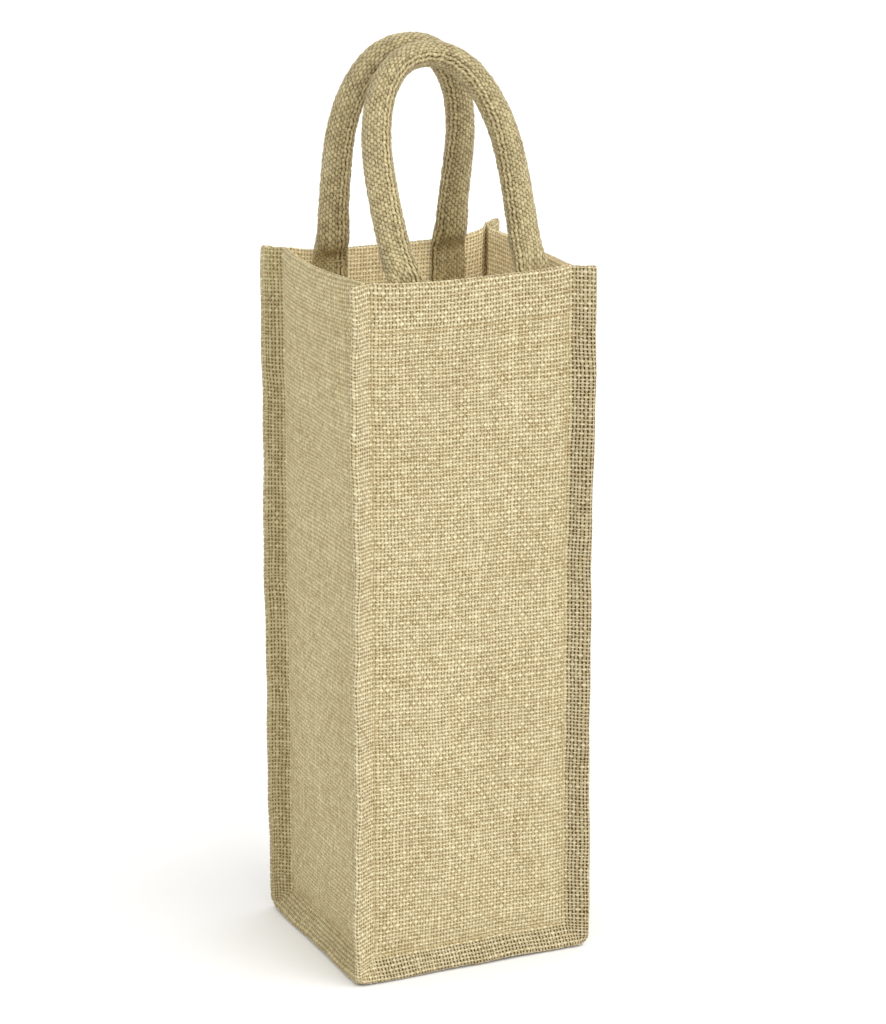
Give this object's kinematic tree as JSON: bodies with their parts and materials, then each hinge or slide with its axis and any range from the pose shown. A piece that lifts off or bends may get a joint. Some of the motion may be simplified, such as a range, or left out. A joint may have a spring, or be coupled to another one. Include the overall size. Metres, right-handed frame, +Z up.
{
  "type": "wine gift bag",
  "caption": "Tall woven jute bag for one bottle, with outward sewn seams, a folded top hem and two padded loop handles.",
  "frame": {"origin": "on the ground under the middle of the bag", "axes": "+Z up, -Y out of the front panel, +X to the right seen from the front"},
  "size_m": [0.128, 0.115, 0.4567],
  "materials": {
    "jute_cloth": "natural open plain-weave jute, matt",
    "handle_webbing": "coarse basket-weave webbing, matt",
    "handle_rope": "soft undyed filler rope, matt, hidden inside the webbing",
    "thread": "natural sewing thread, matt"
  },
  "bodies": {
    "bag": {"front_panel": "jute_cloth", "back_panel": "jute_cloth", "left_side_panel": "jute_cloth", "right_side_panel": "jute_cloth", "base_panel": "jute_cloth", "front_left_seam_stitching": "thread", "front_right_seam_stitching": "thread", "front_bottom_seam_stitching": "thread", "front_hem_stitching": "thread", "back_left_seam_stitching": "thread", "back_right_seam_stitching": "thread", "back_bottom_seam_stitching": "thread", "back_hem_stitching": "thread", "left_bottom_seam_stitching": "thread", "left_hem_stitching": "thread", "right_bottom_seam_stitching": "thread", "right_hem_stitching": "thread", "front_handle_left_end": "handle_webbing", "front_handle_left_end_stitching": "thread", "front_handle_right_end": "handle_webbing", "front_handle_right_end_stitching": "thread", "back_handle_left_end": "handle_webbing", "back_handle_left_end_stitching": "thread", "back_handle_right_end": "handle_webbing", "back_handle_right_end_stitching": "thread"},
    "front_handle": {"front_handle": "handle_webbing", "front_handle_rope": "handle_rope", "front_handle_seam_stitching": "thread"},
    "back_handle": {"back_handle": "handle_webbing", "back_handle_rope": "handle_rope", "back_handle_seam_stitching": "thread"}
  },
  "joints": [
    {"name": "front_handle_fold", "type": "hinge", "parent": "bag", "child": "front_handle", "pos_m": [0, -0.0505, 0.352], "axis": [1, 0, 0], "range_deg": [0, 176]},
    {"name": "back_handle_fold", "type": "hinge", "parent": "bag", "child": "back_handle", "pos_m": [0, 0.0505, 0.352], "axis": [-1, 0, 0], "range_deg": [0, 176]}
  ]
}
